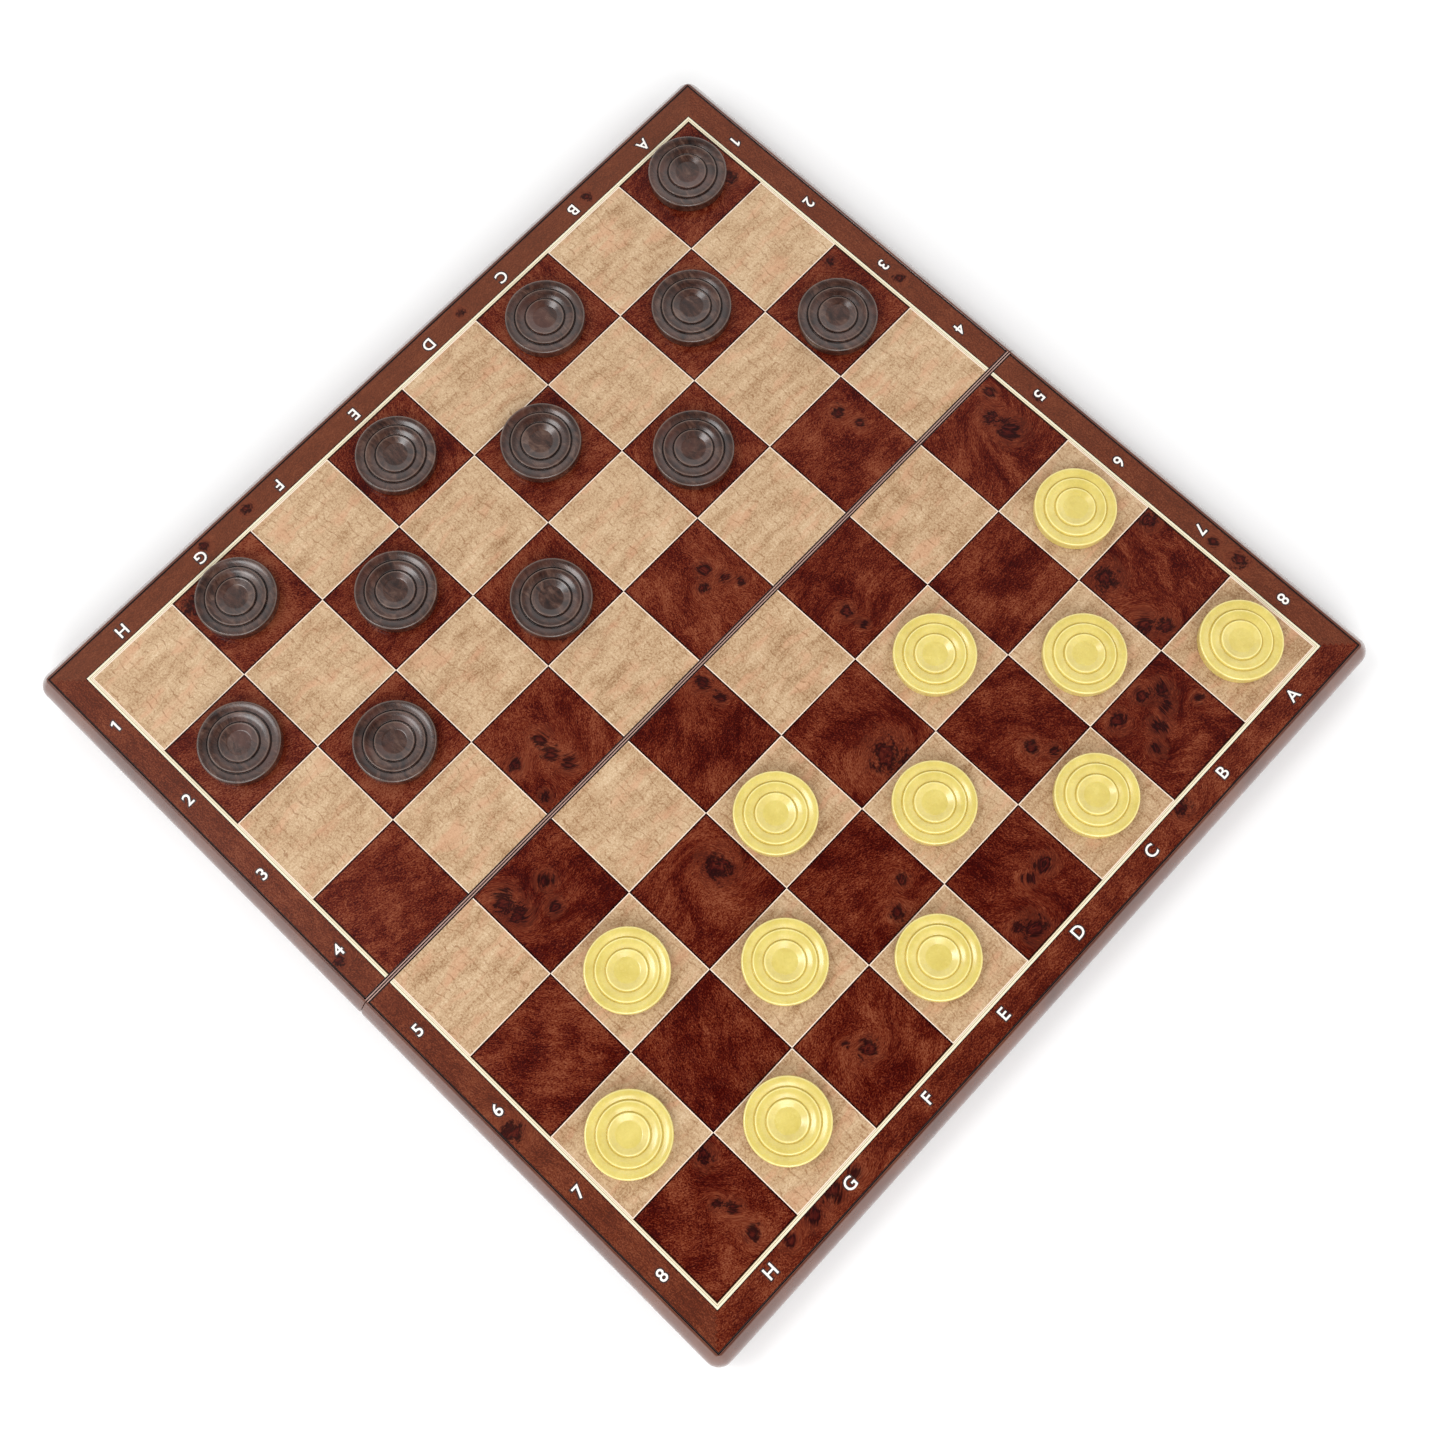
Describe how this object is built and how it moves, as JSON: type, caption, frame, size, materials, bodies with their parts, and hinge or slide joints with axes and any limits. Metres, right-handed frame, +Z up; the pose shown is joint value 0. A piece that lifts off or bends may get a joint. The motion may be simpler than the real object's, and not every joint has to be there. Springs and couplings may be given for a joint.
{
  "type": "folding draughts and chess board set",
  "caption": "Square folding magnetic board with two tray halves on a middle hinge, coordinate border, and ringed round draughts set out on the dark and light squares.",
  "frame": {"origin": "on the table, below the middle of the open board", "axes": "+X from rank 1 towards rank 8, +Y towards file A, +Z up out of the playing surface"},
  "size_m": [0.319, 0.3182, 0.0259],
  "materials": {
    "shell": "red-brown moulded plastic, satin gloss",
    "panel": "lacquered burl and curly maple squares with a pale line and white coordinates",
    "steel": "thin plated steel sheet",
    "pin": "drawn steel wire",
    "feet": "matt black rubber",
    "dark_draught": "dark brown marbled plastic, satin",
    "light_draught": "ivory yellow plastic, satin",
    "magnet": "nickel-plated disc"
  },
  "bodies": {
    "low_half": {"shell_low": "shell", "panel_low": "panel", "steel_sheet_low": "steel", "hinge_pin_low": "pin", "feet_low": "feet"},
    "high_half": {"shell_high": "shell", "panel_high": "panel", "steel_sheet_high": "steel", "hinge_pin_high": "pin", "feet_high": "feet"},
    "draught_a1": {"dark_draught_a1": "dark_draught", "magnet_a1": "magnet"},
    "draught_c1": {"dark_draught_c1": "dark_draught", "magnet_c1": "magnet"},
    "draught_e1": {"dark_draught_e1": "dark_draught", "magnet_e1": "magnet"},
    "draught_g1": {"dark_draught_g1": "dark_draught", "magnet_g1": "magnet"},
    "draught_b2": {"dark_draught_b2": "dark_draught", "magnet_b2": "magnet"},
    "draught_d2": {"dark_draught_d2": "dark_draught", "magnet_d2": "magnet"},
    "draught_f2": {"dark_draught_f2": "dark_draught", "magnet_f2": "magnet"},
    "draught_h2": {"dark_draught_h2": "dark_draught", "magnet_h2": "magnet"},
    "draught_a3": {"dark_draught_a3": "dark_draught", "magnet_a3": "magnet"},
    "draught_c3": {"dark_draught_c3": "dark_draught", "magnet_c3": "magnet"},
    "draught_e3": {"dark_draught_e3": "dark_draught", "magnet_e3": "magnet"},
    "draught_g3": {"dark_draught_g3": "dark_draught", "magnet_g3": "magnet"},
    "draught_a6": {"light_draught_a6": "light_draught", "magnet_a6": "magnet"},
    "draught_c6": {"light_draught_c6": "light_draught", "magnet_c6": "magnet"},
    "draught_e6": {"light_draught_e6": "light_draught", "magnet_e6": "magnet"},
    "draught_g6": {"light_draught_g6": "light_draught", "magnet_g6": "magnet"},
    "draught_b7": {"light_draught_b7": "light_draught", "magnet_b7": "magnet"},
    "draught_d7": {"light_draught_d7": "light_draught", "magnet_d7": "magnet"},
    "draught_f7": {"light_draught_f7": "light_draught", "magnet_f7": "magnet"},
    "draught_h7": {"light_draught_h7": "light_draught", "magnet_h7": "magnet"},
    "draught_a8": {"light_draught_a8": "light_draught", "magnet_a8": "magnet"},
    "draught_c8": {"light_draught_c8": "light_draught", "magnet_c8": "magnet"},
    "draught_e8": {"light_draught_e8": "light_draught", "magnet_e8": "magnet"},
    "draught_g8": {"light_draught_g8": "light_draught", "magnet_g8": "magnet"}
  },
  "joints": [
    {"name": "board_fold", "type": "hinge", "parent": "low_half", "child": "high_half", "pos_m": [0, 0, 0.00235], "axis": [0, 1, 0], "range_deg": [0, 180]},
    {"name": "lift_a1", "type": "slide", "parent": "low_half", "child": "draught_a1", "axis": [0, 0, 1], "range_m": [0, 0.03]},
    {"name": "lift_c1", "type": "slide", "parent": "low_half", "child": "draught_c1", "axis": [0, 0, 1], "range_m": [0, 0.03]},
    {"name": "lift_e1", "type": "slide", "parent": "low_half", "child": "draught_e1", "axis": [0, 0, 1], "range_m": [0, 0.03]},
    {"name": "lift_g1", "type": "slide", "parent": "low_half", "child": "draught_g1", "axis": [0, 0, 1], "range_m": [0, 0.03]},
    {"name": "lift_b2", "type": "slide", "parent": "low_half", "child": "draught_b2", "axis": [0, 0, 1], "range_m": [0, 0.03]},
    {"name": "lift_d2", "type": "slide", "parent": "low_half", "child": "draught_d2", "axis": [0, 0, 1], "range_m": [0, 0.03]},
    {"name": "lift_f2", "type": "slide", "parent": "low_half", "child": "draught_f2", "axis": [0, 0, 1], "range_m": [0, 0.03]},
    {"name": "lift_h2", "type": "slide", "parent": "low_half", "child": "draught_h2", "axis": [0, 0, 1], "range_m": [0, 0.03]},
    {"name": "lift_a3", "type": "slide", "parent": "low_half", "child": "draught_a3", "axis": [0, 0, 1], "range_m": [0, 0.03]},
    {"name": "lift_c3", "type": "slide", "parent": "low_half", "child": "draught_c3", "axis": [0, 0, 1], "range_m": [0, 0.03]},
    {"name": "lift_e3", "type": "slide", "parent": "low_half", "child": "draught_e3", "axis": [0, 0, 1], "range_m": [0, 0.03]},
    {"name": "lift_g3", "type": "slide", "parent": "low_half", "child": "draught_g3", "axis": [0, 0, 1], "range_m": [0, 0.03]},
    {"name": "lift_a6", "type": "slide", "parent": "high_half", "child": "draught_a6", "axis": [0, 0, 1], "range_m": [0, 0.03]},
    {"name": "lift_c6", "type": "slide", "parent": "high_half", "child": "draught_c6", "axis": [0, 0, 1], "range_m": [0, 0.03]},
    {"name": "lift_e6", "type": "slide", "parent": "high_half", "child": "draught_e6", "axis": [0, 0, 1], "range_m": [0, 0.03]},
    {"name": "lift_g6", "type": "slide", "parent": "high_half", "child": "draught_g6", "axis": [0, 0, 1], "range_m": [0, 0.03]},
    {"name": "lift_b7", "type": "slide", "parent": "high_half", "child": "draught_b7", "axis": [0, 0, 1], "range_m": [0, 0.03]},
    {"name": "lift_d7", "type": "slide", "parent": "high_half", "child": "draught_d7", "axis": [0, 0, 1], "range_m": [0, 0.03]},
    {"name": "lift_f7", "type": "slide", "parent": "high_half", "child": "draught_f7", "axis": [0, 0, 1], "range_m": [0, 0.03]},
    {"name": "lift_h7", "type": "slide", "parent": "high_half", "child": "draught_h7", "axis": [0, 0, 1], "range_m": [0, 0.03]},
    {"name": "lift_a8", "type": "slide", "parent": "high_half", "child": "draught_a8", "axis": [0, 0, 1], "range_m": [0, 0.03]},
    {"name": "lift_c8", "type": "slide", "parent": "high_half", "child": "draught_c8", "axis": [0, 0, 1], "range_m": [0, 0.03]},
    {"name": "lift_e8", "type": "slide", "parent": "high_half", "child": "draught_e8", "axis": [0, 0, 1], "range_m": [0, 0.03]},
    {"name": "lift_g8", "type": "slide", "parent": "high_half", "child": "draught_g8", "axis": [0, 0, 1], "range_m": [0, 0.03]}
  ]
}
